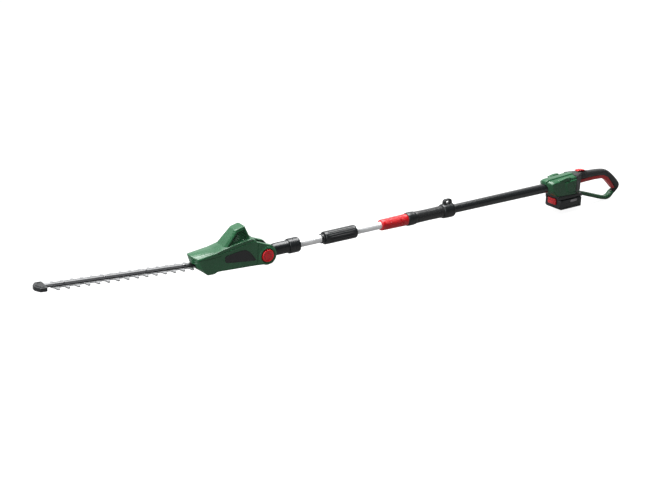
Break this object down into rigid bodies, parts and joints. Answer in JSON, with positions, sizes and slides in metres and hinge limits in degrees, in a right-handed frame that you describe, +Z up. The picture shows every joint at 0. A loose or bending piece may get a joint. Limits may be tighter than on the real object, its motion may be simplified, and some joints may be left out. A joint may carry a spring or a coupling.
{
  "type": "pole hedge trimmer",
  "caption": "Cordless hedge trimmer: double-sided reciprocating blade on a tilting head, telescopic pole, and a loop handle over a sliding battery.",
  "frame": {"origin": "middle of the length, on the surface that the loop handle's lowest point touches, pole axis level", "axes": "+X along the pole from the blade tip to the handle, +Y across it, +Z up: the motor hump is on top and the battery is underneath"},
  "size_m": [2.1001, 0.074, 0.1927],
  "materials": {
    "green_plastic": "fine moulded grain, satin",
    "black_plastic": "satin moulded plastic",
    "soft_grip": "matt soft overmould",
    "red_plastic": "satin to gloss moulded plastic",
    "tube_aluminium": "drawn and anodised, satin",
    "black_tube": "black powder coat",
    "cast_aluminium": "die cast, as cast",
    "blade_steel": "ground, bright teeth edges",
    "dark_steel": "blackened",
    "steel": "bright zinc plate",
    "copper": "enamelled copper windings",
    "circuit_board": "solder mask",
    "cell_wrap": "shrink sleeve"
  },
  "bodies": {
    "handle": {"outer_tube": "black_tube", "clamp_collet": "black_plastic", "grip_flange": "black_plastic", "front_grip": "soft_grip", "strap_ring": "black_plastic", "rear_housing_left": "green_plastic", "rear_housing_right": "green_plastic", "handle_grip": "soft_grip", "switch_module": "black_plastic", "control_board": "circuit_board", "battery_terminals": "black_plastic", "tube_clamp": "cast_aluminium", "trigger_spring": "steel", "coiled_lead": "black_plastic"},
    "telescope_collar": {"telescope_collar": "red_plastic"},
    "front_pole": {"inner_tube": "tube_aluminium", "guide_bush": "black_plastic", "coupling_socket": "black_plastic", "front_tube": "tube_aluminium", "coupling_collar": "black_plastic", "socket_collar": "black_plastic", "socket_shell_upper": "black_plastic", "socket_shell_lower": "black_plastic", "pivot_knuckle": "black_plastic"},
    "coupling_nut": {"coupling_nut": "black_plastic"},
    "head": {"head_shell_left": "green_plastic", "head_shell_right": "green_plastic", "side_badge_left": "black_plastic", "side_badge_right": "black_plastic", "motor_can": "steel", "gear_housing": "cast_aluminium", "gearbox_base": "cast_aluminium", "gear_axle": "steel", "blade_rail": "dark_steel", "tip_guard": "black_plastic", "blade_screw_1": "steel", "blade_screw_2": "steel", "blade_screw_3": "steel", "blade_screw_4": "steel", "pivot_shaft": "steel", "tilt_spring_left": "steel", "tilt_spring_right": "steel"},
    "tilt_button_left": {"tilt_button_left": "red_plastic"},
    "tilt_button_right": {"tilt_button_right": "red_plastic"},
    "drive_gear": {"drive_gear": "steel"},
    "armature": {"motor_armature": "copper", "motor_pinion": "steel", "cooling_fan": "black_plastic"},
    "upper_blade": {"upper_blade": "blade_steel"},
    "lower_blade": {"lower_blade": "blade_steel"},
    "trigger": {"trigger": "red_plastic"},
    "lock_off_slider": {"lock_off_slider": "red_plastic"},
    "battery": {"battery_case_lower": "black_plastic", "battery_case_upper": "black_plastic", "battery_cell_1": "cell_wrap", "battery_cell_2": "cell_wrap", "battery_cell_3": "cell_wrap", "battery_cell_4": "cell_wrap", "battery_cell_5": "cell_wrap"},
    "battery_button": {"battery_button": "red_plastic"}
  },
  "joints": [
    {"name": "telescope_slide", "type": "slide", "parent": "handle", "child": "front_pole", "axis": [-1, 0, 0], "range_m": [0, 0.5], "deforming": ["coiled_lead"]},
    {"name": "collar_twist", "type": "hinge", "parent": "handle", "child": "telescope_collar", "pos_m": [0.05, 0, 0.092], "axis": [1, 0, 0], "range_deg": [0, 90]},
    {"name": "coupling_twist", "type": "hinge", "parent": "front_pole", "child": "coupling_nut", "pos_m": [-0.145, 0, 0.092], "axis": [1, 0, 0], "range_deg": [0, 180]},
    {"name": "head_tilt", "type": "hinge", "parent": "front_pole", "child": "head", "pos_m": [-0.404, 0, 0.092], "axis": [0, 1, 0], "range_deg": [-90, 45]},
    {"name": "tilt_button_left_press", "type": "slide", "parent": "head", "child": "tilt_button_left", "axis": [0, -1, 0], "range_m": [0, 0.0035], "stiffness_N_per_m": 900, "springref_m": -0.001, "deforming": ["tilt_spring_left"]},
    {"name": "tilt_button_right_press", "type": "slide", "parent": "head", "child": "tilt_button_right", "axis": [0, 1, 0], "range_m": [0, 0.0035], "stiffness_N_per_m": 900, "springref_m": -0.001, "deforming": ["tilt_spring_right"]},
    {"name": "gear_spin", "type": "hinge", "parent": "head", "child": "drive_gear", "pos_m": [-0.52165, 0, 0.10105], "axis": [0.0767, 0, 0.9971], "continuous": true},
    {"name": "motor_spin", "type": "hinge", "parent": "head", "child": "armature", "pos_m": [-0.49174, 0, 0.09875], "axis": [0.0767, 0, 0.9971], "continuous": true},
    {"name": "upper_blade_stroke", "type": "slide", "parent": "head", "child": "upper_blade", "axis": [-0.9971, 0, 0.0767], "range_m": [-0.008, 0.008]},
    {"name": "lower_blade_stroke", "type": "slide", "parent": "head", "child": "lower_blade", "axis": [-0.9971, 0, 0.0767], "range_m": [-0.008, 0.008]},
    {"name": "trigger_pull", "type": "hinge", "parent": "handle", "child": "trigger", "pos_m": [0.834, 0, 0.094], "axis": [0, -1, 0], "range_deg": [0, 2.2], "stiffness_Nm_per_rad": 6, "springref_deg": -171.89, "deforming": ["trigger_spring"]},
    {"name": "lock_off_slide", "type": "slide", "parent": "handle", "child": "lock_off_slider", "axis": [-1, 0, 0], "range_m": [0, 0.006], "stiffness_N_per_m": 300, "springref_m": -0.002},
    {"name": "battery_slide", "type": "slide", "parent": "handle", "child": "battery", "axis": [-1, 0, 0], "range_m": [0, 0.11]},
    {"name": "battery_button_press", "type": "slide", "parent": "battery", "child": "battery_button", "axis": [1, 0, 0], "range_m": [0, 0.003], "stiffness_N_per_m": 1500, "springref_m": -0.001}
  ],
  "couplings": [
    {"joint": "motor_spin", "follows": "gear_spin", "ratio": -4},
    {"joint": "lower_blade_stroke", "follows": "upper_blade_stroke", "ratio": -1}
  ]
}
